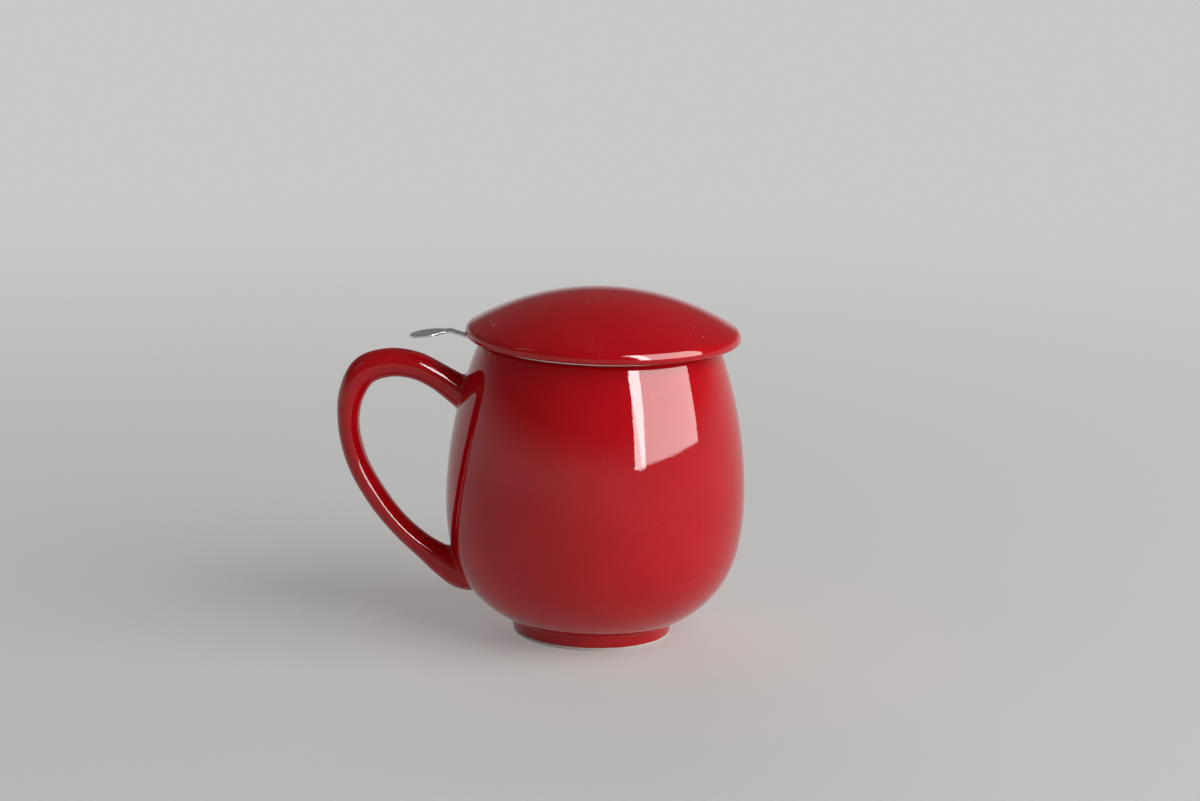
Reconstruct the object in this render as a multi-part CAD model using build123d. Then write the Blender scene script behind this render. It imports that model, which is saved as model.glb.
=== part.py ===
from build123d import *
import math
import os

# A lidded tea mug with a hanging infuser basket. The mug, its luted-on handle and the loose
# domed lid are glazed porcelain; the basket is pressed and rolled stainless steel.
# Millimetres. The mug's axis is Z, it stands on Z = 0, and the handle points to -X.

# ---- driving dimensions -------------------------------------------------------------------

# mug: an outline of three tangent arcs, stacked up from the floor
belly_radius = 47.0
rim_height = 93.0
shoulder_arc = 135.0
flank_arc = 72.0
flank_drop = 15.0
bowl_arc = 32.0
mug_wall = 3.8
floor_thickness = 3.9
rim_rounding = 1.4

# foot ring, turned from the same clay
foot_height = 4.9
foot_taper = 1.1
foot_ring_width = 3.0
foot_recess = 2.6
foot_rounding = 0.7
foot_crease = 0.9

# handle: an oval strap; its line is given as shares of its reach and its rise
handle_reach = 31.2
handle_low_root = 17.3
handle_root_below_rim = 21.5
handle_width = 11.0
handle_line = [
    # out, up, thickness, extra width
    (-0.400, 0.000, 11.0, 3.0),
    (-0.192, 0.009, 11.2, 2.6),
    (0.000, 0.068, 9.8, 1.4),
    (0.186, 0.142, 7.7, 0.4),
    (0.433, 0.262, 6.8, 0.0),
    (0.715, 0.459, 6.9, 0.0),
    (0.923, 0.683, 6.8, 0.0),
    (1.000, 0.899, 7.0, 0.0),
    (0.968, 1.061, 8.2, 0.0),
    (0.842, 1.190, 9.3, 0.0),
    (0.615, 1.240, 9.1, 0.0),
    (0.337, 1.229, 8.7, 0.0),
    (0.096, 1.166, 8.5, 0.3),
    (-0.064, 1.109, 9.4, 1.2),
    (-0.353, 1.000, 12.0, 3.6),
]

# infuser collar: pressed sheet that lies on the rim and drops into the mouth
collar_sheet = 0.6
collar_play = 0.8
collar_bend = 1.0
collar_drop = 8.5
flange_inset = 0.4

# thumb tab, welded to the flange's edge
tab_neck_width = 5.0
tab_paddle_width = 11.0
tab_past_lid = 17.2
tab_rise = 2.05
tab_tip_rise = 0.1
tab_bend_past_lid = 4.6
tab_lip_lead = 1.2
tab_waist_rounding = 4.0
tab_bend_radius = 3.0
tab_cut_height = 10.0  # of the bodies that trim the tab; more than the tab rises

# basket: a rolled sheet, a pressed and perforated floor and a hoop round the bottom edge
basket_sheet = 0.4
basket_floor_gap = 20.0
floor_rise = 3.6
floor_bend = 1.0
hoop_sheet = 0.4
hoop_height = 3.4
hoop_lap = 2.2
hole_radius = 0.6
hole_pitch = 2.2
plain_band = 2.6

# lid: a cap of a sphere with a rounded edge and a ring that drops into the collar
lid_overhang = 5.65
lid_dome_rise = 14.1
lid_edge_rounding = 3.0
lid_lip_rounding = 1.4
lid_lip_gap = 0.7
lid_seat_inset = 1.6
lid_wall = 4.2
lid_ring_play = 1.4
lid_ring_drop = 7.0
lid_ring_width = 3.6
lid_ring_rounding = 1.5
lid_seat_fillet = 0.8
lid_hollow_fillet = 3.0
lid_set_over = 1.0

os.makedirs("parts", exist_ok=True)

# ---- helpers ------------------------------------------------------------------------------


def at(radius, height):
    """A point of a turned outline, in the plane Y = 0."""
    return (radius, 0, height)


def on_arc(centre, radius, degrees):
    """The point of a circle in the plane Y = 0 at an angle from +X towards +Z."""
    angle = math.radians(degrees)
    return at(centre[0] + radius * math.cos(angle), centre[1] + radius * math.sin(angle))


def arc(centre, radius, start, end):
    """An arc in the plane Y = 0 from one angle to another."""
    return ThreePointArc(*[on_arc(centre, radius, a) for a in (start, (start + end) / 2, end)])


def turned(pieces):
    """A solid of revolution from outline pieces; straight lines join their ends in order."""
    edges = []
    for index, piece in enumerate(pieces):
        edges.append(piece)
        following = pieces[(index + 1) % len(pieces)]
        if (piece @ 1 - following @ 0).length > 1e-6:
            edges.append(Line(piece @ 1, following @ 0))
    return revolve(make_face(Wire(edges)), Axis.Z)


def rings(solid, places):
    """The circular edges of a turned solid at the given (radius, height) places."""
    circles = solid.edges().filter_by(GeomType.CIRCLE)
    return [
        edge
        for edge in circles
        for radius, height in places
        if abs(edge.radius - radius) < 0.01 and abs(edge.arc_center.Z - height) < 0.01
    ]


def save(node, shape):
    export_step(shape, f"parts/{node}.step")


# ---- the mug's side: the same arcs make the outside and, inset, the inside ------------------

floor_top = foot_recess + floor_thickness
flank_angle = math.degrees(math.asin(flank_drop / flank_arc))
bowl_shift = flank_arc - bowl_arc
bowl_centre = (
    belly_radius - flank_arc + bowl_shift * math.cos(math.radians(flank_angle)),
    floor_top + bowl_arc - mug_wall,
)
belly_height = bowl_centre[1] + bowl_shift * math.sin(math.radians(flank_angle))
flank_centre = (belly_radius - flank_arc, belly_height)
shoulder_centre = (belly_radius - shoulder_arc, belly_height)


def side(inset, bowl_end):
    """The side's arcs from the rim down to the bowl's angle bowl_end, inset into the wall."""
    rim_angle = math.degrees(math.asin((rim_height - belly_height) / (shoulder_arc - inset)))
    return [
        (shoulder_centre, shoulder_arc - inset, rim_angle, 0),
        (flank_centre, flank_arc - inset, 0, -flank_angle),
        (bowl_centre, bowl_arc - inset, -flank_angle, bowl_end),
    ]


foot_angle = -math.degrees(math.asin((bowl_centre[1] - foot_height) / bowl_arc))
outer_side = [arc(*span) for span in side(0, foot_angle)]
rim_radius = (outer_side[0] @ 0).X
foot_top_radius = (outer_side[-1] @ 1).X
foot_radius = foot_top_radius - foot_taper
foot_inner_radius = foot_radius - foot_ring_width

# ---- mug body -----------------------------------------------------------------------------

inner_side = [
    arc(centre, radius, end, start)
    for centre, radius, start, end in reversed(side(mug_wall, -90))
]
mouth_radius = (inner_side[-1] @ 1).X
foot_sole = Line(at(foot_radius, 0), at(foot_inner_radius, 0))
foot_ceiling = Line(at(foot_inner_radius, foot_recess), at(0, foot_recess))
cavity_floor = Line(at(0, floor_top), inner_side[0] @ 0)
mug_body = turned(outer_side + [foot_sole, foot_ceiling, cavity_floor] + inner_side)
mug_body = fillet(
    rings(mug_body, [(rim_radius, rim_height), (mouth_radius, rim_height)]), rim_rounding
)
mug_body = fillet(
    rings(
        mug_body,
        [(foot_radius, 0), (foot_inner_radius, 0), (foot_inner_radius, foot_recess)],
    ),
    foot_rounding,
)
mug_body = fillet(rings(mug_body, [(foot_top_radius, foot_height)]), foot_crease)
save("mug_body", mug_body)

# ---- handle -------------------------------------------------------------------------------

handle_rise = rim_height - handle_root_below_rim - handle_low_root
handle_points = [
    Vector(-belly_radius - out * handle_reach, 0, handle_low_root + up * handle_rise)
    for out, up, _, _ in handle_line
]
spine = Spline(*handle_points)
sections = []
for point, (_, _, thickness, extra) in zip(handle_points, handle_line):
    along = spine.tangent_at(spine.param_at_point(point))
    station = Plane(point, x_dir=(0, 1, 0), z_dir=along)
    sections.append(station * Ellipse((handle_width + extra) / 2, thickness / 2))
envelope = turned(
    outer_side + [Line(at(foot_radius, 0), at(0, 0)), Line(at(0, 0), at(0, rim_height))]
)
mug_handle = loft(sections) - envelope
save("mug_handle", mug_handle)

# ---- infuser collar -----------------------------------------------------------------------

flange_radius = rim_radius - flange_inset
flange_top = rim_height + collar_sheet
neck_radius = mouth_radius - collar_play
bend_centre = (neck_radius + collar_bend, rim_height - collar_bend)
neck_bottom = rim_height - collar_drop
infuser_collar = turned(
    [
        Line(at(flange_radius, flange_top), at(flange_radius, rim_height)),
        arc(bend_centre, collar_bend, 90, 180),
        Line(at(neck_radius, neck_bottom), at(neck_radius - collar_sheet, neck_bottom)),
        arc(bend_centre, collar_bend + collar_sheet, 180, 90),
    ]
)
save("infuser_collar", infuser_collar)

# ---- thumb tab ----------------------------------------------------------------------------

lid_radius = rim_radius + lid_overhang
tab_middle = rim_height + collar_sheet / 2
lid_left_edge = lid_radius - lid_set_over
tab_tip = lid_left_edge + tab_past_lid
tab_line = FilletPolyline(
    at(-flange_radius + collar_sheet, tab_middle),
    at(-lid_left_edge + lid_lip_rounding + tab_lip_lead, tab_middle),
    at(-lid_left_edge - tab_bend_past_lid, tab_middle + tab_rise),
    at(-tab_tip, tab_middle + tab_tip_rise),
    radius=tab_bend_radius,
)
strip_section = Plane(tab_line @ 0, x_dir=(0, 1, 0), z_dir=(-1, 0, 0)) * Rectangle(
    tab_paddle_width + collar_sheet, collar_sheet
)
strip = sweep(strip_section, path=tab_line)
paddle_centre = -tab_tip + tab_paddle_width / 2
neck_length = -paddle_centre - flange_radius + collar_sheet
tab_outline = Pos(paddle_centre, 0) * Circle(tab_paddle_width / 2) + Pos(
    paddle_centre + neck_length / 2, 0
) * Rectangle(neck_length, tab_neck_width)
waist = [v for v in tab_outline.vertices() if abs(v.X - paddle_centre) < tab_paddle_width / 2]
tab_outline = Pos(0, 0, tab_middle) * fillet(waist, tab_waist_rounding)
tab_column = extrude(tab_outline, tab_cut_height, both=True)
flange_disc = Pos(0, 0, tab_middle) * Cylinder(flange_radius, tab_cut_height)
infuser_tab = (strip & tab_column) - flange_disc
save("infuser_tab", infuser_tab)

# ---- basket -------------------------------------------------------------------------------

basket_radius = neck_radius - collar_sheet
basket_inner = basket_radius - basket_sheet
basket_bottom = floor_top + basket_floor_gap
wall_top = rim_height - collar_bend - basket_sheet
wall_height = wall_top - basket_bottom
infuser_wall = Pos(0, 0, basket_bottom + wall_height / 2) * (
    Cylinder(basket_radius, wall_height) - Cylinder(basket_inner, wall_height)
)
save("infuser_wall", infuser_wall)

pan_top = basket_bottom + floor_rise
pan_bend_centre = (
    basket_inner - basket_sheet - floor_bend,
    pan_top - basket_sheet - floor_bend,
)
floor_pan = turned(
    [
        arc(pan_bend_centre, floor_bend + basket_sheet, 90, 0),
        Line(at(basket_inner, basket_bottom), at(basket_inner - basket_sheet, basket_bottom)),
        arc(pan_bend_centre, floor_bend, 0, 90),
        Line(at(0, pan_top - basket_sheet), at(0, pan_top)),
    ]
)
floor_rings = int((pan_bend_centre[0] - plain_band) / hole_pitch)
punch = Pos(0, 0, pan_top) * Cylinder(hole_radius, 4 * basket_sheet)
floor_punches = [punch]
for ring in range(1, floor_rings + 1):
    for step in range(6 * ring):
        floor_punches.append(Rot(0, 0, 60 / ring * step) * Pos(ring * hole_pitch, 0, 0) * punch)
infuser_floor = floor_pan.cut(*floor_punches)
save("infuser_floor", infuser_floor)

hoop_outer = basket_radius + hoop_sheet
infuser_hoop = turned(
    [
        Line(
            at(hoop_outer, basket_bottom + hoop_height),
            at(hoop_outer, basket_bottom - hoop_sheet),
        ),
        Line(
            at(basket_radius - hoop_lap, basket_bottom - hoop_sheet),
            at(basket_radius - hoop_lap, basket_bottom),
        ),
        Line(at(basket_radius, basket_bottom), at(basket_radius, basket_bottom + hoop_height)),
    ]
)
save("infuser_hoop", infuser_hoop)

# ---- lid ----------------------------------------------------------------------------------

lip_bottom = flange_top + lid_lip_gap
edge_height = lip_bottom + lid_lip_rounding
lid_seat_radius = flange_radius - lid_seat_inset
dome_top = edge_height + lid_dome_rise
edge_centre = (lid_radius - lid_edge_rounding, edge_height)
lip_centre = (lid_radius - lid_lip_rounding, edge_height)
dome_arc = (edge_centre[0] ** 2 + lid_dome_rise ** 2 - lid_edge_rounding ** 2) / (
    2 * (lid_dome_rise - lid_edge_rounding)
)
dome_centre = (0, dome_top - dome_arc)
dome_angle = 90 - math.degrees(math.asin(edge_centre[0] / (dome_arc - lid_edge_rounding)))
lid_ring_outer = basket_inner - lid_ring_play
lid_ring_inner = lid_ring_outer - lid_ring_width
lid_ring_bottom = flange_top - lid_ring_drop
hollow_angle = math.degrees(math.acos(lid_ring_inner / (dome_arc - lid_wall)))
hollow_height = dome_centre[1] + (dome_arc - lid_wall) * math.sin(math.radians(hollow_angle))
lid = turned(
    [
        arc(dome_centre, dome_arc, 90, dome_angle),
        arc(edge_centre, lid_edge_rounding, dome_angle, 0),
        arc(lip_centre, lid_lip_rounding, 0, -90),
        Line(at(lid_seat_radius + lid_lip_gap, lip_bottom), at(lid_seat_radius, flange_top)),
        Line(at(lid_seat_radius, flange_top), at(lid_ring_outer, flange_top)),
        Line(at(lid_ring_outer, lid_ring_bottom), at(lid_ring_inner, lid_ring_bottom)),
        arc(dome_centre, dome_arc - lid_wall, hollow_angle, 90),
    ]
)
lid = fillet(
    rings(lid, [(lid_ring_outer, lid_ring_bottom), (lid_ring_inner, lid_ring_bottom)]),
    lid_ring_rounding,
)
lid = fillet(rings(lid, [(lid_ring_outer, flange_top)]), lid_seat_fillet)
lid = fillet(rings(lid, [(lid_ring_inner, hollow_height)]), lid_hollow_fillet)
save("lid", Pos(lid_set_over, 0, 0) * lid)
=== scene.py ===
import math

import bmesh
import bpy
from mathutils import Matrix, Vector


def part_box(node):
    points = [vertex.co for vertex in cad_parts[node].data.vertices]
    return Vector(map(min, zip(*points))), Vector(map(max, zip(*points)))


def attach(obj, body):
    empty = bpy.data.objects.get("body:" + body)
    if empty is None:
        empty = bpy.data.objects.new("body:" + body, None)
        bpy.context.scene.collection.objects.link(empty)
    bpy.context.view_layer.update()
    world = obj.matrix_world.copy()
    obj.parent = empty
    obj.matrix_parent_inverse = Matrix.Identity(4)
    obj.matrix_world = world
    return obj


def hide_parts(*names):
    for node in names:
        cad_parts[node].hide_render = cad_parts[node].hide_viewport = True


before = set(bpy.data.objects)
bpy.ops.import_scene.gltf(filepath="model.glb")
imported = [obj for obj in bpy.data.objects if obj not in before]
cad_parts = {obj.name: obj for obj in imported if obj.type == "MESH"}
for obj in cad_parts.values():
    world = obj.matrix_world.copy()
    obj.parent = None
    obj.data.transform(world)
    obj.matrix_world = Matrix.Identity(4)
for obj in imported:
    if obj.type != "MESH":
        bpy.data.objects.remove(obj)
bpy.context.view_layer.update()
scene = bpy.context.scene
scene.view_settings.view_transform = "Standard"

# ---- camera -------------------------------------------------------------------------------
# The mug is seen from its side and a little from above, as from a chair at the same table.
# A long lens about a metre away keeps its outline nearly free of perspective.

eye = Vector((0.00064, -0.9770, 0.2874))
look_down = math.radians(12.3)
lean = math.radians(1.70)
sensor_width = 36.0
picture_width = 1200
focal_length_in_pixels = 3193

lens = bpy.data.cameras.new("camera")
lens.sensor_width = sensor_width
lens.lens = focal_length_in_pixels / picture_width * sensor_width
camera = bpy.data.objects.new("camera", lens)
camera.matrix_world = (
    Matrix.Translation(eye)
    @ Matrix.Rotation(math.pi / 2 - look_down, 4, "X")
    @ Matrix.Rotation(lean, 4, "Z")
)
scene.collection.objects.link(camera)
scene.camera = camera

# ---- studio light and pale floor ----------------------------------------------------------
# A wide softbox stands to the right like a window, and the glaze mirrors it as a pane with a
# bright left edge. A small softbox on the left and a wide one behind lift the shadows, and
# the pale room and its matt paper floor fill the rest.


class Signal:
    """A socket's value. Python's operators on it add Math nodes to the same tree."""

    def __init__(self, nodes, socket):
        self.nodes = nodes
        self.socket = socket

    def maths(self, operation, first, second):
        return self.nodes.add(
            "ShaderNodeMath", {"operation": operation}, {0: first, 1: second}
        )

    def __add__(self, other):
        return self.maths("ADD", self, other)

    def __sub__(self, other):
        return self.maths("SUBTRACT", self, other)

    def __rsub__(self, other):
        return self.maths("SUBTRACT", other, self)

    def __mul__(self, other):
        return self.maths("MULTIPLY", self, other)

    def __truediv__(self, other):
        return self.maths("DIVIDE", self, other)

    def __pow__(self, other):
        return self.maths("POWER", self, other)

    def __gt__(self, other):
        return self.maths("GREATER_THAN", self, other)

    __radd__ = __add__
    __rmul__ = __mul__


class Nodes:
    """A node tree that is filled by one method; the others are short forms of it."""

    def __init__(self, owner):
        owner.use_nodes = True
        self.tree = owner.node_tree
        self.tree.nodes.clear()

    def add(self, kind, settings=None, inputs=None, output=0):
        """Adds a node, sets it, gives its sockets values or links, and returns one output."""
        node = self.tree.nodes.new(kind)
        for name, value in (settings or {}).items():
            setattr(node, name, value)
        for name, value in (inputs or {}).items():
            if isinstance(value, Signal):
                self.tree.links.new(value.socket, node.inputs[name])
            else:
                node.inputs[name].default_value = value
        return Signal(self, node.outputs[output]) if node.outputs else None

    def noise(self, place, scale, detail=2.0):
        """Soft noise about 0.5; the scale is in blotches per metre."""
        return self.add(
            "ShaderNodeTexNoise", None, {"Vector": place, "Scale": scale, "Detail": detail}
        )

    def rise(self, value, low, high):
        """0 below low, 1 above high, and smooth between; low may be the larger."""
        return self.add(
            "ShaderNodeMapRange",
            {"interpolation_type": "SMOOTHSTEP"},
            {"Value": value, "From Min": low, "From Max": high},
        )

    def mix(self, share, first, second):
        """A colour between two colours."""
        return self.add(
            "ShaderNodeMix", {"data_type": "RGBA"}, {0: share, 6: first, 7: second}, output=2
        )

    def vector(self, x, y, z):
        return self.add("ShaderNodeCombineXYZ", None, {0: x, 1: y, 2: z})

    def parts(self, vector):
        """The three numbers of a vector."""
        return [
            self.add("ShaderNodeSeparateXYZ", None, {0: vector}, output=axis) for axis in "XYZ"
        ]


lamp_aim = Vector((0, 0, 0.055))


def softbox(name, azimuth, elevation, distance, width, height, brightness):
    """A panel of this radiance, turned to the mug; azimuth goes from the camera to the right."""
    turn, lift = math.radians(azimuth), math.radians(elevation)
    away = Vector(
        (math.sin(turn) * math.cos(lift), -math.cos(turn) * math.cos(lift), math.sin(lift))
    )
    light = bpy.data.lights.new(name, "AREA")
    light.shape = "RECTANGLE"
    light.size = width
    light.size_y = height
    light.energy = brightness * math.pi * width * height
    lamp = bpy.data.objects.new(name, light)
    facing = away.to_track_quat("Z", "Y").to_matrix().to_4x4()
    lamp.matrix_world = Matrix.Translation(lamp_aim + away * distance) @ facing
    scene.collection.objects.link(lamp)
    return lamp


# The window lights the matt surfaces at a plain level. The glow and the jamb stand just in
# front of it and light no matt surface, and make it a bright pane in the glaze.
window = {"azimuth": 61, "elevation": 31, "width": 1.40, "height": 1.30}
window_jamb = {"azimuth": 34, "elevation": 31, "width": 0.20, "height": 1.35}
left_panel = {"azimuth": -78, "elevation": 38, "width": 0.25, "height": 0.6}
back_panel = {"azimuth": 190, "elevation": 20, "width": 1.6, "height": 0.9}
softbox("window_softbox", distance=1.30, brightness=3.0, **window).visible_glossy = False
softbox("window_glow", distance=1.29, brightness=8.5, **window).visible_diffuse = False
softbox("window_jamb", distance=1.27, brightness=14, **window_jamb).visible_diffuse = False
softbox("shadow_softbox", distance=1.6, brightness=0.6, **left_panel)
softbox("back_fill", distance=1.9, brightness=2.2, **back_panel).visible_glossy = False

# the pale wall darkens to the ceiling between these two sines of elevation
horizon_fade = (-0.01, 0.24)
horizon_colour = (0.58, 0.58, 0.575, 1)
ceiling_colour = (0.11, 0.11, 0.112, 1)
world = bpy.data.worlds.new("pale_room")
scene.world = world
room = Nodes(world)
upward = room.parts(room.add("ShaderNodeTexCoord", output="Generated"))[2]
backdrop = room.mix(room.rise(upward, *horizon_fade), horizon_colour, ceiling_colour)
room.add(
    "ShaderNodeOutputWorld",
    None,
    {"Surface": room.add("ShaderNodeBackground", None, {"Color": backdrop})},
)

floor_radius = 6.0
floor_sides = 128
floor_colour = (0.72, 0.715, 0.705, 1)
paper_roughness = 0.55
paper_mottle = 0.1
paper_mottle_scale = 30
sweep_start = 0.02
sweep_end = 0.9
least_sweep = 0.35


def new_object(name, bm, material):
    """The finished object of a bmesh, linked to the scene."""
    mesh = bpy.data.meshes.new(name)
    bm.to_mesh(mesh)
    bm.free()
    mesh.materials.append(material)
    piece = bpy.data.objects.new(name, mesh)
    scene.collection.objects.link(piece)
    return piece


def floor_paper():
    """Matt seamless paper. Away from the mug it runs into the pale wall without a line."""
    material = bpy.data.materials.new("floor_paper")
    nodes = Nodes(material)
    here = nodes.add("ShaderNodeTexCoord", output="Object")
    away = nodes.add("ShaderNodeVectorMath", {"operation": "LENGTH"}, {0: here}, output="Value")
    looked_at = 0
    for ray in ("Is Camera Ray", "Is Glossy Ray", "Is Transmission Ray"):
        looked_at = nodes.add("ShaderNodeLightPath", output=ray) + looked_at
    paper = nodes.add(
        "ShaderNodeBsdfPrincipled",
        None,
        {
            "Base Color": floor_colour,
            "Roughness": paper_roughness + paper_mottle * nodes.noise(here, paper_mottle_scale),
            "Specular IOR Level": 0.0,
        },
    )
    far_wall = nodes.add("ShaderNodeEmission", None, {"Color": horizon_colour})
    share = looked_at * (least_sweep + (1 - least_sweep) * nodes.rise(away, sweep_start, sweep_end))
    sweep = nodes.add("ShaderNodeMixShader", None, {0: share, 1: paper, 2: far_wall})
    nodes.add("ShaderNodeOutputMaterial", None, {"Surface": sweep})
    return material


floor_mesh = bmesh.new()
bmesh.ops.create_circle(floor_mesh, cap_ends=True, radius=floor_radius, segments=floor_sides)
new_object("floor", floor_mesh, floor_paper())

# ---- mug body -----------------------------------------------------------------------------
# A bellied porcelain cup, shaped on a wheel head with its foot ring turned from the same
# clay, and dipped in a deep red gloss glaze. The ring's sole is wiped clean of glaze, so
# that the mug doesn't stick to the kiln shelf, and shows as a thin pale line.

belly_radius = 0.0470
rim_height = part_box("mug_body")[1].z
shoulder_arc = 0.1350
flank_arc = 0.0720
flank_drop = 0.0150
bowl_arc = 0.0320
mug_wall = 0.0038
floor_thickness = 0.0039
foot_recess = 0.0026
foot_height = 0.0049
foot_taper = 0.0011
foot_ring_width = 0.0030
foot_rounding = 0.0007
foot_crease = 0.0009
rim_rounding = 0.0014
bare_sole = 0.0011

floor_top = foot_recess + floor_thickness
flank_angle = math.asin(flank_drop / flank_arc)
bowl_centre = (
    belly_radius - flank_arc + (flank_arc - bowl_arc) * math.cos(flank_angle),
    floor_top + bowl_arc - mug_wall,
)
belly_height = bowl_centre[1] + (flank_arc - bowl_arc) * math.sin(flank_angle)
flank_centre = (belly_radius - flank_arc, belly_height)
shoulder_centre = (belly_radius - shoulder_arc, belly_height)
bowl_end = math.asin((bowl_centre[1] - foot_height) / bowl_arc)
foot_top_radius = bowl_centre[0] + bowl_arc * math.cos(bowl_end)
foot_radius = foot_top_radius - foot_taper
foot_inner_radius = foot_radius - foot_ring_width

# how finely an outline is divided and turned, and how near two vertices are one
facet = 0.0012
facet_turn = math.radians(6)
least_arc_steps = 3
corner_segments = 8
corner_clearing = 1.1
turning_steps = 256
merge_reach = 1e-7


class Outline:
    """A turned piece's outline in the plane Y = 0, drawn on from its last vertex."""

    def __init__(self, radius, height):
        self.bm = bmesh.new()
        self.first = self.tip = self.bm.verts.new((radius, 0, height))
        self.corners = []

    def line(self, radius, height):
        """Runs straight to a place, divided into facets."""
        start, end = self.tip.co.copy(), Vector((radius, 0, height))
        pieces = max(1, round((end - start).length / facet))
        for piece in range(1, pieces + 1):
            self.tip = bmesh.ops.extrude_vert_indiv(self.bm, verts=[self.tip])["verts"][0]
            self.tip.co = start.lerp(end, piece / pieces)
        return self

    def arc(self, centre, angle):
        """Turns round a centre, from +Z towards +X where the angle is positive."""
        middle = Vector((centre[0], 0, centre[1]))
        length = (self.tip.co - middle).length * abs(angle)
        drawn = bmesh.ops.spin(
            self.bm,
            geom=[self.tip],
            cent=middle,
            axis=(0, 1, 0),
            angle=angle,
            steps=max(least_arc_steps, math.ceil(length / facet), math.ceil(abs(angle) / facet_turn)),
        )
        self.tip = drawn["geom_last"][0]
        return self

    def corner(self, rounding):
        """The last vertex is a corner that gets this radius."""
        self.corners.append((self.tip, rounding))
        return self

    def close(self):
        """Runs straight back to the first vertex."""
        start = self.first.co.copy()
        self.line(start.x, start.z)
        bmesh.ops.remove_doubles(self.bm, verts=[self.tip, self.first], dist=merge_reach)
        return self

    def round_corners(self):
        """Clears each corner's neighbours and rounds it to its radius."""
        for corner, rounding in self.corners:
            before, after = [edge.other_vert(corner).co - corner.co for edge in corner.link_edges]
            reach = rounding * math.tan((math.pi - before.angle(after)) / 2)
            crowd = [
                vert
                for vert in self.bm.verts
                if vert is not corner and (vert.co - corner.co).length < corner_clearing * reach
            ]
            bmesh.ops.dissolve_verts(self.bm, verts=crowd)
            bmesh.ops.bevel(
                self.bm,
                geom=[corner],
                affect="VERTICES",
                offset=reach,
                segments=corner_segments,
                profile=0.5,
                material=-1,
            )

    def turned(self):
        """The solid that the outline makes round the Z axis."""
        self.round_corners()
        bmesh.ops.spin(
            self.bm,
            geom=self.bm.verts[:] + self.bm.edges[:],
            axis=(0, 0, 1),
            angle=2 * math.pi,
            steps=turning_steps,
            use_merge=True,
        )
        bmesh.ops.remove_doubles(self.bm, verts=self.bm.verts, dist=merge_reach)
        bmesh.ops.recalc_face_normals(self.bm, faces=self.bm.faces)
        return self.bm


def rim_angle(inset):
    """The angle above the belly at which the shoulder, inset into the wall, meets the rim."""
    return math.asin((rim_height - belly_height) / (shoulder_arc - inset))


mug = Outline(0, foot_recess)
mug.line(foot_inner_radius, foot_recess).corner(foot_rounding)
mug.line(foot_inner_radius, 0).corner(foot_rounding)
mug.line(foot_radius, 0).corner(foot_rounding)
mug.line(foot_top_radius, foot_height).corner(foot_crease)
mug.arc(bowl_centre, flank_angle - bowl_end)
mug.arc(flank_centre, -flank_angle)
mug.arc(shoulder_centre, -rim_angle(0)).corner(rim_rounding)
mouth_radius = shoulder_centre[0] + (shoulder_arc - mug_wall) * math.cos(rim_angle(mug_wall))
mug.line(mouth_radius, rim_height).corner(rim_rounding)
mug.arc(shoulder_centre, rim_angle(mug_wall))
mug.arc(flank_centre, flank_angle)
mug.arc(bowl_centre, math.pi / 2 - flank_angle)
mug.line(0, floor_top)

deep_red = (0.52, 0.0015, 0.0070, 1)
thin_red = (0.58, 0.0040, 0.0090, 1)
rolled_red = (0.20, 0.001, 0.003, 1)
# the pinholes' near-black is painted shade, the dark inside of each small crater
pinhole_shade_colour = (0.05, 0.0, 0.002, 1)
dust_colour = (0.86, 0.62, 0.60, 1)
clay_colour = (0.82, 0.79, 0.73, 1)
clay_shade = (0.68, 0.64, 0.57, 1)

# A _rise is the pair of values between which a mask goes from 0 to 1. A _scale is in blotches
# per metre. Here: clouds where the glaze is thinner.
cloud_scale = 55
cloud_rise = (0.35, 0.75)
cloud_strength = 0.6
# pinholes in the glaze, painted dark as the shade inside each small crater, and dust specks on it,
# round and of mixed size
least_spot = 0.4
spot_rise = (1.15, 0.85)
pinhole_spacing = 0.0042
pinhole_share = 0.03
pinhole_radius = 0.00016
pinhole_shade_strength = 0.8
pinhole_depth = 0.00004
speck_spacing = 0.0032
speck_share = 0.35
speck_radius = 0.00027
speck_strength = 0.85
speck_height = 0.00002
speck_roughness = 0.4
# dust settles on what faces up
specks_on_sides = 0.12
settling_rise = (0.25, 0.9)
# fine scuffs in patches: what x and y count for along a stroke and across it
stroke_along = (170, 130)
stroke_across = (-2200, 2900)
stroke_rise = (0.60, 0.70)
rubbed_scale = 42
rubbed_rise = (0.56, 0.66)
scuff_strength = 0.48
scuff_roughness = 0.2
# the glaze ends in an uneven line with a darker roll above it
edge_wander = 0.0003
edge_wander_scale = 260
edge_fray = 0.0001
edge_fray_scale = 1500
edge_softness = 0.00006
rolled_width = 0.0006
rolled_strength = 0.5
# bare clay below that line, a little deeper than the glaze
clay_grain_scale = 2500
clay_grain_relief = 0.3
clay_depth = 0.00005
clay_roughness = 0.62
# the gloss, with finger smears, slow waves and fine ripples
gloss_roughness = 0.018
smear_scale = 70
smear_rise = (0.45, 0.75)
smear_roughness = 0.030
wave_scale = 110
wave_height = 0.000030
ripple_scale = 1100
ripple_height = 0.000006
glaze_ior = 1.46


def scattered(nodes, here, spacing, share, radius):
    """1 on small round spots, about spacing apart where they are, on a share of the cells."""
    spot = {"Vector": here, "Scale": 1 / spacing}
    distance = nodes.add("ShaderNodeTexVoronoi", None, spot, output="Distance")
    chance = nodes.parts(nodes.add("ShaderNodeTexVoronoi", None, spot, output="Color"))
    reach = radius / spacing * (least_spot + (1 - least_spot) * chance[1])
    return nodes.rise(distance / reach, *spot_rise) * (chance[0] > 1 - share)


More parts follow.
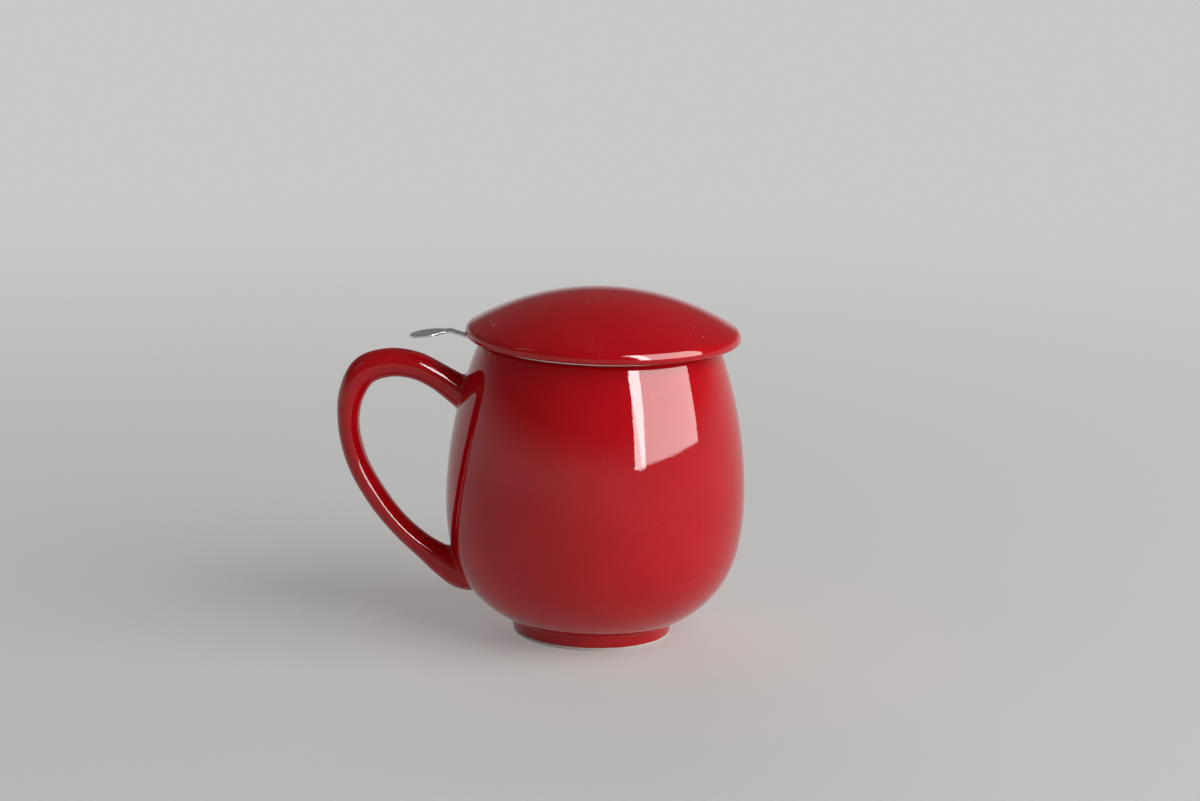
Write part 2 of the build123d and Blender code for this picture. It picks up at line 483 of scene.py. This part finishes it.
def gloss_glaze(name, bare_below):
    """Deep red gloss glaze, with dust and with pinholes painted dark as their shade, that ends at the
    bare clay's height.
    """
    material = bpy.data.materials.new(name)
    nodes = Nodes(material)
    here = nodes.add("ShaderNodeTexCoord", output="Object")
    x, y, height = nodes.parts(here)
    facing_up = nodes.parts(nodes.add("ShaderNodeNewGeometry", output="Normal"))[2]

    cloud = nodes.rise(nodes.noise(here, cloud_scale, detail=3), *cloud_rise)
    colour = nodes.mix(cloud_strength * cloud, deep_red, thin_red)
    pinhole = scattered(nodes, here, pinhole_spacing, pinhole_share, pinhole_radius)
    # each pinhole is painted near-black, as the shade inside its crater
    colour = nodes.mix(pinhole_shade_strength * pinhole, colour, pinhole_shade_colour)
    settled = nodes.rise(facing_up, *settling_rise)
    speck = scattered(nodes, here, speck_spacing, speck_share, speck_radius)
    speck = speck * (specks_on_sides + (1 - specks_on_sides) * settled)
    colour = nodes.mix(speck_strength * speck, colour, dust_colour)

    along = stroke_along[0] * x + stroke_along[1] * y
    across = stroke_across[0] * x + stroke_across[1] * y
    strokes = nodes.rise(nodes.noise(nodes.vector(along, across, 0), 1, detail=3), *stroke_rise)
    scuff = strokes * nodes.rise(nodes.noise(here, rubbed_scale), *rubbed_rise) * settled
    colour = nodes.mix(scuff_strength * scuff, colour, dust_colour)

    wander = edge_wander * (nodes.noise(here, edge_wander_scale) - 0.5)
    uneven = height + wander + edge_fray * (nodes.noise(here, edge_fray_scale) - 0.5)
    bare = nodes.rise(uneven, bare_below + edge_softness, bare_below - edge_softness)
    rolled = nodes.rise(uneven, bare_below + rolled_width, bare_below)
    colour = nodes.mix(rolled_strength * rolled, colour, rolled_red)
    grain = nodes.noise(here, clay_grain_scale, detail=3)
    clay = nodes.mix(grain, clay_colour, clay_shade)

    smear = nodes.rise(nodes.noise(here, smear_scale, detail=4), *smear_rise)
    roughness = gloss_roughness + smear_roughness * smear + clay_roughness * bare
    roughness = roughness + speck_roughness * speck + scuff_roughness * scuff
    relief = wave_height * nodes.noise(here, wave_scale)
    relief = relief + ripple_height * nodes.noise(here, ripple_scale)
    relief = relief - pinhole_depth * pinhole + speck_height * speck
    relief = relief - clay_depth * bare * (1 - clay_grain_relief * grain)
    glaze = nodes.add(
        "ShaderNodeBsdfPrincipled",
        None,
        {
            "Base Color": nodes.mix(bare, colour, clay),
            "Roughness": roughness,
            "IOR": glaze_ior,
            "Normal": nodes.add("ShaderNodeBump", None, {"Distance": 1.0, "Height": relief}),
        },
    )
    nodes.add("ShaderNodeOutputMaterial", None, {"Surface": glaze})
    return material


mug_glaze = gloss_glaze("mug_glaze", bare_sole)
mug_piece = new_object("mug", mug.turned(), mug_glaze)
mug_piece.data.shade_smooth()
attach(mug_piece, "mug")
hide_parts("mug_body")

# ---- handle -------------------------------------------------------------------------------
# An oval strap of the same clay, bent into a loop and luted on to the leather-hard cup. The
# potter's sponge and the glaze leave a small hollow fillet all round both of its roots.

handle_reach = 0.03105
handle_low_root = 0.0173
handle_root_below_rim = 0.0215
handle_rise = rim_height - handle_root_below_rim - handle_low_root
handle_width = 0.0110
handle_line = [
    # out and up as shares of the reach and the rise, thickness, width added
    (-0.400, 0.000, 0.0110, 0.0030),
    (-0.192, 0.009, 0.0112, 0.0026),
    (0.000, 0.068, 0.0098, 0.0014),
    (0.186, 0.142, 0.0077, 0.0004),
    (0.433, 0.262, 0.0068, 0.0000),
    (0.715, 0.459, 0.0069, 0.0000),
    (0.923, 0.683, 0.0068, 0.0000),
    (1.000, 0.899, 0.0070, 0.0000),
    (0.968, 1.061, 0.0082, 0.0000),
    (0.842, 1.190, 0.0093, 0.0000),
    (0.615, 1.240, 0.0091, 0.0000),
    (0.337, 1.229, 0.0087, 0.0000),
    (0.096, 1.166, 0.0085, 0.0003),
    (-0.064, 1.109, 0.0094, 0.0012),
    (-0.353, 1.000, 0.0120, 0.0036),
]
stations = [
    Vector(
        (
            -belly_radius - out * handle_reach,
            handle_low_root + up * handle_rise,
            thickness / 2,
            (handle_width + extra) / 2,
        )
    )
    for out, up, thickness, extra in handle_line
]

# the strap's line is a smooth curve through the stations: how far along it each one lies,
# the straight runs between them, and the curve's slope at each
knots = [0.0]
for before, after in zip(stations, stations[1:]):
    knots.append(knots[-1] + (after - before).xy.length)
runs = [
    (stations[index + 1] - stations[index]) / (knots[index + 1] - knots[index])
    for index in range(len(stations) - 1)
]
slopes = [runs[0]]
for index in range(1, len(runs)):
    left, right = knots[index] - knots[index - 1], knots[index + 1] - knots[index]
    slopes.append((runs[index - 1] * right + runs[index] * left) / (left + right))
slopes.append(runs[-1])

strap_sides = 64
strap_rows = 150
strap_middle = 0.5
root_crease = math.radians(60)
root_fillet = 0.0014
fillet_rows = 10
fillet_limits = (0.0005, 0.0035)
fillet_skirt = 0.0004
fillet_lift = 0.000012
root_depth = 0.0012
share_step = 0.0005
turn_step = 0.01
halvings = 30


def strap_line(share):
    """The strap's line, half thickness and half width at a share of its length."""
    along = share * knots[-1]
    index = next(i for i in range(len(knots) - 1) if along <= knots[i + 1] or i == len(knots) - 2)
    span = knots[index + 1] - knots[index]
    t = (along - knots[index]) / span
    start, end = stations[index], stations[index + 1]
    return (
        start * (1 - t) ** 2 * (1 + 2 * t)
        + end * t**2 * (3 - 2 * t)
        + span * t * (1 - t) * (slopes[index] * (1 - t) - slopes[index + 1] * t)
    )


def strap_point(share, angle):
    """A point of the strap's surface; angle 0 is the loop's inner side."""
    step = 0.001
    here = strap_line(share)
    along = strap_line(min(1, share + step)) - strap_line(max(0, share - step))
    inward = Vector((along.y, 0, -along.x)).normalized()
    across = Vector((0, here.w * math.sin(angle), 0))
    return Vector((here.x, 0, here.y)) + inward * here.z * math.cos(angle) + across


def side_radius(height):
    """The outer radius of the mug's side at a height."""
    if height > belly_height:
        centre, radius = shoulder_centre, shoulder_arc
    elif height > belly_height - flank_drop:
        centre, radius = flank_centre, flank_arc
    else:
        centre, radius = bowl_centre, bowl_arc
    return centre[0] + math.sqrt(radius**2 - (height - centre[1]) ** 2)


def off_side(point):
    """How far a point is outside the mug's side, measured level."""
    return math.hypot(point.x, point.y) - side_radius(point.z)


def side_normal(point):
    """The direction straight out of the mug's side at a point on it."""
    step = 0.00001
    slope = (side_radius(point.z + step) - side_radius(point.z - step)) / (2 * step)
    return Vector((point.x, point.y, -math.hypot(point.x, point.y) * slope)).normalized()


def on_side(point, lift):
    """The nearest point at the same height on the mug's side, lifted off it."""
    flat = Vector((point.x, point.y, 0)).normalized() * side_radius(point.z)
    landed = Vector((flat.x, flat.y, point.z))
    return landed + side_normal(landed) * lift


def find(test, low, high):
    """The value between low, where the test is false, and high, where it is true."""
    for _ in range(halvings):
        middle = (low + high) / 2
        low, high = (low, middle) if test(middle) else (middle, high)
    return (low + high) / 2


def root(angle, end):
    """Where the strap's line at this angle ends, and its fillet from there on to the mug."""
    inside = find(lambda share: off_side(strap_point(share, angle)) < 0, strap_middle, end)
    corner = strap_point(inside, angle)
    step = math.copysign(share_step, strap_middle - end)
    along = strap_point(inside + step, angle) - corner
    around = strap_point(inside, angle + turn_step) - strap_point(inside, angle - turn_step)
    strap_normal = along.cross(around).normalized()
    centre = strap_line(inside)
    if strap_normal.dot(corner - Vector((centre.x, 0, centre.y))) < 0:
        strap_normal.negate()
    mug_normal = side_normal(corner)
    outward = (strap_normal - strap_normal.dot(mug_normal) * mug_normal).normalized()
    opening = outward.angle(along)
    reach = root_fillet / math.tan(opening / 2)
    reach = max(fillet_limits[0], min(fillet_limits[1], reach))
    leaves = find(
        lambda share: (strap_point(share, angle) - corner).length < reach, strap_middle, inside
    )
    start = strap_point(leaves, angle)
    landing = on_side(corner + outward * reach, fillet_lift)
    places = []
    for row in range(1, fillet_rows + 1):
        t = row / fillet_rows
        places.append((1 - t) ** 2 * start + 2 * t * (1 - t) * corner + t**2 * landing)
    places.append(on_side(corner + outward * (reach + fillet_skirt), fillet_lift))
    places.append(on_side(corner + outward * (reach + fillet_skirt), -root_depth))
    return leaves, places


columns = []
for side in range(strap_sides):
    angle = 2 * math.pi * side / strap_sides
    low_end, low_fillet = root(angle, 0)
    high_end, high_fillet = root(angle, 1)
    strap = [
        strap_point(low_end + (high_end - low_end) * row / strap_rows, angle)
        for row in range(strap_rows + 1)
    ]
    columns.append(low_fillet[::-1] + strap + high_fillet)
handle = bmesh.new()
rows = len(columns[0])
bmesh.ops.create_grid(handle, x_segments=strap_sides, y_segments=rows - 1, size=1)
handle.verts.ensure_lookup_table()
for index, vert in enumerate(handle.verts):
    row, side = divmod(index, strap_sides + 1)
    vert.co = columns[side % strap_sides][row]
bmesh.ops.remove_doubles(handle, verts=handle.verts, dist=merge_reach)
bmesh.ops.holes_fill(handle, edges=[edge for edge in handle.edges if edge.is_boundary])
bmesh.ops.recalc_face_normals(handle, faces=handle.faces)
handle_piece = new_object("mug_handle_loop", handle, mug_glaze)
handle_piece.data.shade_smooth()
handle_piece.data.set_sharp_from_angle(angle=root_crease)
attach(handle_piece, "mug")
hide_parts("mug_handle")

# ---- infuser collar -----------------------------------------------------------------------
# A ring pressed from stainless sheet. Its flange lies on the mug's rim, and its neck drops
# into the mouth and holds the basket. The turning tool leaves fine rings in the satin finish.

collar_sheet = 0.0006
collar_bend = 0.0010
collar_drop = 0.0085
collar_play = 0.0008
flange_inset = 0.0004
sheet_edge = 0.00014
sheet_crease = math.radians(40)
rim_radius = shoulder_centre[0] + shoulder_arc * math.cos(rim_angle(0))
flange_radius = rim_radius - flange_inset
flange_top = rim_height + collar_sheet
neck_radius = mouth_radius - collar_play
bend_centre = (neck_radius + collar_bend, rim_height - collar_bend)

weld_count = 12
weld_turn = 2 * math.pi / weld_count
weld_radius = 0.0013
heat_radius = 0.0027
neck_weld_drop = 0.0050
hoop_weld_drop = 0.0017
hoop_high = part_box("infuser_hoop")[1].z
neck_weld_height = rim_height - neck_weld_drop
hoop_weld_height = hoop_high - hoop_weld_drop

steel_colour = (0.58, 0.575, 0.56, 1)
bright_steel = (0.72, 0.715, 0.70, 1)
straw_tint = (0.62, 0.50, 0.33, 1)
# brushed lines are fine across and long along their grain, and go round a turned piece
brushing_across = 5200
brushing_along = 160
brushing_round = 3
brushing_height = 0.0000008
brushing_roughness = 0.13
# shallow dents and the marks of hands
dent_scale = 160
dent_height = 0.000004
handling_scale = 95
handling_rise = (0.4, 0.7)
handling_roughness = 0.07
satin_roughness = 0.15
# the straw tint that a weld's heat leaves beside it
heat_strength = 0.38
heat_roughness = 0.10
bead_heat_out = 0.0022
bead_heat_in = 0.0002


def near_weld(nodes, x, y, height, weld_height):
    """1 on the spot welds of the row at this height, fading to 0 beside them."""
    turns = nodes.add("ShaderNodeMath", {"operation": "ARCTAN2"}, {0: y, 1: x}) / weld_turn
    beside = (turns.maths("FRACT", turns, 0) - 0.5) * (weld_turn * neck_radius)
    above = height - weld_height
    return nodes.rise((beside * beside + above * above) ** 0.5, heat_radius, weld_radius)


def satin_steel(name, round_piece=True):
    """Brushed stainless steel, with its grain round the Z axis or along X."""
    material = bpy.data.materials.new(name)
    nodes = Nodes(material)
    here = nodes.add("ShaderNodeTexCoord", output="Object")
    x, y, height = nodes.parts(here)
    if round_piece:
        radius = (x * x + y * y) ** 0.5
        x_round, y_round = x / radius * brushing_round, y / radius * brushing_round
        grain = nodes.vector(x_round, y_round, (height + radius) * brushing_across)
        heat = near_weld(nodes, x, y, height, neck_weld_height)
        heat = heat + near_weld(nodes, x, y, height, hoop_weld_height)
    else:
        grain = nodes.vector(x * brushing_along, y * brushing_across, height * brushing_across)
        heat = nodes.rise(x, -flange_radius - bead_heat_out, -flange_radius + bead_heat_in)
    brushed = nodes.noise(grain, 1, detail=3)
    handled = nodes.rise(nodes.noise(here, handling_scale, detail=4), *handling_rise)
    roughness = satin_roughness + brushing_roughness * brushed
    roughness = roughness + handling_roughness * handled + heat_roughness * heat
    relief = brushing_height * brushed + dent_height * nodes.noise(here, dent_scale)
    sheet = nodes.mix(brushed, steel_colour, bright_steel)
    steel = nodes.add(
        "ShaderNodeBsdfPrincipled",
        None,
        {
            "Base Color": nodes.mix(heat_strength * heat, sheet, straw_tint),
            "Metallic": 1.0,
            "Roughness": roughness,
            "Normal": nodes.add("ShaderNodeBump", None, {"Distance": 1.0, "Height": relief}),
        },
    )
    nodes.add("ShaderNodeOutputMaterial", None, {"Surface": steel})
    return material


spun_steel = satin_steel("spun_steel")
collar = Outline(flange_radius, flange_top).corner(sheet_edge)
collar.line(flange_radius, rim_height).corner(sheet_edge)
collar.line(bend_centre[0], rim_height)
collar.arc(bend_centre, -math.pi / 2)
collar.line(neck_radius, rim_height - collar_drop).corner(sheet_edge)
collar.line(neck_radius - collar_sheet, rim_height - collar_drop).corner(sheet_edge)
collar.line(neck_radius - collar_sheet, bend_centre[1])
collar.arc(bend_centre, math.pi / 2)
collar_piece = new_object("infuser_collar_ring", collar.close().turned(), spun_steel)
collar_piece.data.shade_smooth()
collar_piece.data.set_sharp_from_angle(angle=sheet_crease)
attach(collar_piece, "infuser")
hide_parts("infuser_collar")

# ---- thumb tab ----------------------------------------------------------------------------
# A blank cut from the same sheet, with a round paddle for the thumb. It is folded up below the
# lid's lip and down again beyond it, and a short weld bead joins its root to the flange's edge.

tab_neck_width = 0.0050
tab_paddle_radius = 0.0055
tab_past_lid = 0.0172
tab_rise = 0.00205
tab_tip_rise = 0.0001
tab_bend_past_lid = 0.0046
tab_lip_lead = 0.0012
tab_waist_rounding = 0.0040
tab_bend_radius = 0.0030
tab_edge = 0.00012
tab_edge_segments = 3
tab_crease = math.radians(10)
rim_turn = math.radians(57)
fold_cuts = 8
sliver = facet / 20
root_band = facet / 4
bead_radius = 0.00028
bead_sink = bead_radius / 4
bead_sides = 12
bead_steps = 24

lid_low, lid_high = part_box("lid")
lid_lip_rounding = 0.0014
tab_middle = rim_height + collar_sheet / 2
tab_low_fold = -lid_low.x - lid_lip_rounding - tab_lip_lead
tab_high_fold = -lid_low.x + tab_bend_past_lid
tab_tip = -lid_low.x + tab_past_lid
up_slope = tab_rise / (tab_high_fold - tab_low_fold)
down_slope = (tab_tip_rise - tab_rise) / (tab_tip - tab_high_fold)


def fold_reach(slope):
    """How far a fold's bend reaches to each side of its middle."""
    return tab_bend_radius * math.tan(math.atan(abs(slope)) / 2)


def fold(past, slope):
    """The height gained past a fold in which the sheet turns by this slope."""
    blend = fold_reach(slope)
    if past < -blend:
        return 0
    return slope * (past if past > blend else (past + blend) ** 2 / (4 * blend))


def folded(out, lift):
    """A point of the folded tab: out from the axis along the blank, and above its middle."""
    step = 0.00005
    near, far = (
        fold(place - tab_low_fold, up_slope) + fold(place - tab_high_fold, down_slope - up_slope)
        for place in (out - step, out + step)
    )
    normal = Vector((far - near, 0, 2 * step)).normalized()
    return Vector((-out, 0, tab_middle + (near + far) / 2)) + normal * lift


tab_root = -flange_radius
paddle_centre = (-tab_tip + tab_paddle_radius, 0)
waist_high = tab_neck_width / 2 + tab_waist_rounding
waist_out = math.sqrt((tab_paddle_radius + tab_waist_rounding) ** 2 - waist_high**2)
waist_turn = math.atan2(waist_out, waist_high)
blank = Outline(tab_root, -tab_neck_width / 2)
blank.line(tab_root, tab_neck_width / 2)
blank.line(paddle_centre[0] + waist_out, tab_neck_width / 2)
blank.arc((paddle_centre[0] + waist_out, waist_high), waist_turn)
blank.arc(paddle_centre, -math.pi - 2 * waist_turn)
blank.arc((paddle_centre[0] + waist_out, -waist_high), waist_turn)
tab = blank.close().bm
bmesh.ops.rotate(tab, verts=tab.verts, matrix=Matrix.Rotation(-math.pi / 2, 3, "X"))
bmesh.ops.contextual_create(tab, geom=tab.edges[:])
for middle, slope in ((tab_low_fold, up_slope), (tab_high_fold, down_slope - up_slope)):
    for cut in range(fold_cuts + 1):
        place = -middle + fold_reach(slope) * (2 * cut / fold_cuts - 1)
        geometry = tab.verts[:] + tab.edges[:] + tab.faces[:]
        bmesh.ops.bisect_plane(tab, geom=geometry, plane_co=(place, 0, 0), plane_no=(1, 0, 0))
bmesh.ops.remove_doubles(tab, verts=tab.verts, dist=sliver)
top = bmesh.ops.extrude_face_region(tab, geom=tab.faces[:])["geom"]
raised = [part for part in top if isinstance(part, bmesh.types.BMVert)]
bmesh.ops.translate(tab, verts=raised, vec=(0, 0, collar_sheet))
bmesh.ops.recalc_face_normals(tab, faces=tab.faces)
rims = [
    edge
    for edge in tab.edges
    if edge.calc_face_angle() > rim_turn
    and abs(edge.verts[0].co.z - edge.verts[1].co.z) < collar_sheet / 2
]
bmesh.ops.bevel(
    tab,
    geom=rims,
    affect="EDGES",
    offset=tab_edge,
    segments=tab_edge_segments,
    profile=0.5,
    material=-1,
)
for vert in tab.verts:
    lift = vert.co.z - collar_sheet / 2
    if vert.co.x > tab_root - root_band:
        vert.co.x += flange_radius - math.sqrt(flange_radius**2 - vert.co.y**2)
    place = folded(-vert.co.x, lift)
    vert.co.xz = place.xz
flat_steel = satin_steel("folded_steel", round_piece=False)
tab_piece = new_object("infuser_thumb_tab", tab, flat_steel)
tab_piece.data.shade_smooth()
tab_piece.data.set_sharp_from_angle(angle=tab_crease)
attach(tab_piece, "infuser")
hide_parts("infuser_tab")

bead = bmesh.new()
bead_half_turn = tab_neck_width / 2 / flange_radius
bmesh.ops.create_circle(bead, radius=bead_radius, segments=bead_sides)
bmesh.ops.rotate(bead, verts=bead.verts, matrix=Matrix.Rotation(math.pi / 2, 3, "X"))
bmesh.ops.translate(bead, verts=bead.verts, vec=(-flange_radius, 0, flange_top - bead_sink))
bmesh.ops.rotate(bead, verts=bead.verts, matrix=Matrix.Rotation(-bead_half_turn, 3, "Z"))
bmesh.ops.spin(
    bead,
    geom=bead.verts[:] + bead.edges[:],
    axis=(0, 0, 1),
    angle=2 * bead_half_turn,
    steps=bead_steps,
)
bmesh.ops.holes_fill(bead, edges=[edge for edge in bead.edges if edge.is_boundary])
bmesh.ops.recalc_face_normals(bead, faces=bead.faces)
bead_piece = new_object("tab_weld_bead", bead, flat_steel)
bead_piece.data.shade_smooth()
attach(bead_piece, "infuser")

# ---- basket wall --------------------------------------------------------------------------
# Thin stainless sheet, punched with staggered rows of round holes, rolled into a tube and
# welded down one side. Spot welds hold its plain top band inside the collar's neck.

basket_sheet = 0.0004
basket_radius = neck_radius - collar_sheet
wall_low, wall_high = (corner.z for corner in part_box("infuser_wall"))
plain_band = 0.0026
hole_radius = 0.0006
hole_columns = 91
hole_pitch = 2 * math.pi * basket_radius / hole_columns
row_pitch = hole_pitch * math.sqrt(3) / 2
first_row = hoop_high + plain_band
hole_rows = int((rim_height - collar_drop - plain_band - first_row) / row_pitch) + 1
wall_crease = math.radians(35)
seam_width = 0.0052
seam_sides = 16
seam_bead_width = 0.0011
seam_bead_lift = 0.00007
seam_ripple = 0.00045
seam_swell = 0.15


def next_ring(bm, ring, rise, turn=0):
    """Draws a ring of edges up by a rise and round by a turn, and gives the new ring."""
    drawn = bmesh.ops.extrude_edge_only(bm, edges=ring)["geom"]
    verts = {part for part in drawn if isinstance(part, bmesh.types.BMVert)}
    bmesh.ops.translate(bm, verts=list(verts), vec=(0, 0, rise))
    bmesh.ops.rotate(bm, verts=list(verts), matrix=Matrix.Rotation(turn, 3, "Z"))
    return [
        part
        for part in drawn
        if isinstance(part, bmesh.types.BMEdge) and verts.issuperset(part.verts)
    ]


def press_round(bm, radius):
    """Puts every vertex back at the tube's radius."""
    for vert in bm.verts:
        vert.co.xy = vert.co.xy.normalized() * radius


wall = bmesh.new()
bmesh.ops.create_circle(wall, radius=basket_radius, segments=hole_columns)
bmesh.ops.translate(wall, verts=wall.verts, vec=(0, 0, wall_low))
row_heights = [first_row + row * row_pitch for row in range(-1, hole_rows + 1)]
ring = wall.edges[:]
for below, height in zip([wall_low] + row_heights, row_heights + [wall_high]):
    ring = next_ring(wall, ring, height - below, math.pi / hole_columns)
punched = [
    vert
    for vert in wall.verts
    if row_heights[0] + row_pitch / 2 < vert.co.z < row_heights[-1] - row_pitch / 2
    and not (vert.co.x < 0 and abs(vert.co.y) < seam_width / 2)
]
bmesh.ops.triangulate(wall, faces=wall.faces[:], quad_method="SHORT_EDGE")
bmesh.ops.poke(wall, faces=list({face for vert in punched for face in vert.link_faces}))
press_round(wall, basket_radius)
slugs = bmesh.ops.bevel(
    wall,
    geom=punched,
    affect="VERTICES",
    offset=hole_radius,
    segments=1,
    profile=0.5,
    material=-1,
)
bmesh.ops.delete(wall, geom=slugs["faces"], context="FACES")
press_round(wall, basket_radius)
bmesh.ops.recalc_face_normals(wall, faces=wall.faces)
bmesh.ops.solidify(wall, geom=wall.faces[:], thickness=basket_sheet)
wall_piece = new_object("infuser_mesh_wall", wall, spun_steel)
wall_piece.data.shade_smooth()
wall_piece.data.set_sharp_from_angle(angle=wall_crease)
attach(wall_piece, "infuser")
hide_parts("infuser_wall")

seam = bmesh.new()
bmesh.ops.create_circle(seam, radius=1, segments=seam_sides)
seam_from, seam_to = hoop_high, rim_height - collar_drop
bmesh.ops.translate(seam, verts=seam.verts, vec=(0, 0, seam_from))
seam_rings = 2 * round((seam_to - seam_from) / seam_ripple)
ring = seam.edges[:]
for _ in range(seam_rings):
    ring = next_ring(seam, ring, (seam_to - seam_from) / seam_rings)
for vert in seam.verts:
    wave = math.cos(2 * math.pi * (vert.co.z - seam_from) / seam_ripple)
    ripple = 1 - seam_swell + seam_swell * wave
    radial = (basket_sheet / 2 + seam_bead_lift) * vert.co.x * ripple
    vert.co.x = radial - basket_radius + basket_sheet / 2
    vert.co.y *= seam_bead_width / 2 * ripple
bmesh.ops.holes_fill(seam, edges=[edge for edge in seam.edges if edge.is_boundary])
bmesh.ops.recalc_face_normals(seam, faces=seam.faces)
seam_piece = new_object("basket_seam_weld", seam, flat_steel)
seam_piece.data.shade_smooth()
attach(seam_piece, "infuser")

# ---- spot welds ---------------------------------------------------------------------------
# Two rows of resistance welds join the wall to the collar's neck and to the bottom hoop.
# Each shows as a round dent with a raised lip where the electrode pressed the sheet.

weld_lip = 0.00007
weld_dent = 0.00006
weld_bowl_radius = weld_radius * 0.55
weld_bowl_height = -weld_dent * 0.6
weld_lip_radius = weld_radius * 0.75
weld_root = -weld_lip * 1.5
weld_sides = 20
hoop_sheet = 0.0004
weld_rows = (
    (neck_weld_height, neck_radius),
    (hoop_weld_height, basket_radius + hoop_sheet),
)
nuggets = bmesh.new()
for height, radius in weld_rows:
    for weld in range(weld_count):
        nugget = Outline(0, -weld_dent)
        nugget.line(weld_bowl_radius, weld_bowl_height)
        nugget.line(weld_lip_radius, weld_lip)
        nugget.line(weld_radius, weld_root)
        nugget.line(0, weld_root)
        bmesh.ops.spin(
            nugget.bm,
            geom=nugget.bm.verts[:] + nugget.bm.edges[:],
            axis=(0, 0, 1),
            angle=2 * math.pi,
            steps=weld_sides,
            use_merge=True,
        )
        bmesh.ops.remove_doubles(nugget.bm, verts=nugget.bm.verts, dist=merge_reach)
        turn = Matrix.Rotation((weld + 0.5) * weld_turn, 4, "Z")
        placed = turn @ Matrix.Translation((radius, 0, height)) @ Matrix.Rotation(math.pi / 2, 4, "Y")
        nugget.bm.transform(placed)
        bmesh.ops.recalc_face_normals(nugget.bm, faces=nugget.bm.faces)
        one = bpy.data.meshes.new("nugget")
        nugget.bm.to_mesh(one)
        nuggets.from_mesh(one)
        nugget.bm.free()
        bpy.data.meshes.remove(one)
nugget_piece = new_object("spot_welds", nuggets, spun_steel)
nugget_piece.data.shade_smooth()
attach(nugget_piece, "infuser")

# ---- basket floor and hoop ----------------------------------------------------------------
# The floor is a shallow pan, punched in rings and pressed into the wall's end. A hoop of thin
# strip is rolled round the bottom edge and under it, and holds the pan in.

floor_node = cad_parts["infuser_floor"]
floor_node.data.materials.clear()
floor_node.data.materials.append(spun_steel)

hoop_lap = 0.0022
hoop_outer = basket_radius + hoop_sheet
hoop_low = wall_low - hoop_sheet
rolled_edge = 0.0006
hoop_edge = 0.00009
hoop = Outline(hoop_outer, hoop_high).corner(hoop_edge)
hoop.line(hoop_outer, hoop_low).corner(rolled_edge)
hoop.line(basket_radius - hoop_lap, hoop_low).corner(hoop_edge)
hoop.line(basket_radius - hoop_lap, wall_low).corner(hoop_edge)
hoop.line(basket_radius, wall_low)
hoop.line(basket_radius, hoop_high).corner(hoop_edge)
hoop_piece = new_object("infuser_bottom_hoop", hoop.close().turned(), spun_steel)
hoop_piece.data.shade_smooth()
hoop_piece.data.set_sharp_from_angle(angle=sheet_crease)
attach(hoop_piece, "infuser")
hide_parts("infuser_hoop")

# ---- lid ----------------------------------------------------------------------------------
# A loose porcelain cap, shaped like a shallow bowl and turned over. A ring underneath drops
# into the collar and centres it. The lid is fired standing on that ring, so its edge is bare.

lid_overhang = 0.00565
lid_dome_rise = 0.0141
lid_edge_rounding = 0.0030
lid_lip_gap = 0.0007
lid_seat_inset = 0.0016
lid_wall = 0.0042
lid_ring_play = 0.0014
lid_ring_drop = 0.0070
lid_ring_width = 0.0036
lid_ring_rounding = 0.0015
lid_seat_fillet = 0.0008
lid_hollow_fillet = 0.0030
lid_bare_edge = 0.0005
lid_set_over = (lid_low.x + lid_high.x) / 2
lid_radius = rim_radius + lid_overhang
lip_bottom = flange_top + lid_lip_gap
edge_height = lip_bottom + lid_lip_rounding
dome_top = edge_height + lid_dome_rise
edge_centre = (lid_radius - lid_edge_rounding, edge_height)
dome_arc = (edge_centre[0] ** 2 + lid_dome_rise**2 - lid_edge_rounding**2) / (
    2 * (lid_dome_rise - lid_edge_rounding)
)
dome_centre = (0, dome_top - dome_arc)
dome_angle = math.asin(edge_centre[0] / (dome_arc - lid_edge_rounding))
lid_seat_radius = flange_radius - lid_seat_inset
lid_ring_outer = basket_radius - basket_sheet - lid_ring_play
lid_ring_inner = lid_ring_outer - lid_ring_width
lid_ring_bottom = flange_top - lid_ring_drop
hollow_angle = math.asin(lid_ring_inner / (dome_arc - lid_wall))

lid = Outline(0, dome_top)
lid.arc(dome_centre, dome_angle)
lid.arc(edge_centre, math.pi / 2 - dome_angle)
lid.arc((lid_radius - lid_lip_rounding, edge_height), math.pi / 2)
lid.line(lid_seat_radius + lid_lip_gap, lip_bottom)
lid.line(lid_seat_radius, flange_top)
lid.line(lid_ring_outer, flange_top).corner(lid_seat_fillet)
lid.line(lid_ring_outer, lid_ring_bottom).corner(lid_ring_rounding)
lid.line(lid_ring_inner, lid_ring_bottom).corner(lid_ring_rounding)
hollow_top = dome_centre[1] + (dome_arc - lid_wall) * math.cos(hollow_angle)
lid.line(lid_ring_inner, hollow_top).corner(lid_hollow_fillet)
lid.arc(dome_centre, -hollow_angle)
lid_mesh = lid.turned()
bmesh.ops.translate(lid_mesh, verts=lid_mesh.verts, vec=(lid_set_over, 0, 0))
lid_glaze = gloss_glaze("lid_glaze", lid_ring_bottom + lid_bare_edge)
lid_piece = new_object("lid_cap", lid_mesh, lid_glaze)
lid_piece.data.shade_smooth()
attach(lid_piece, "lid")
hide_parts("lid")
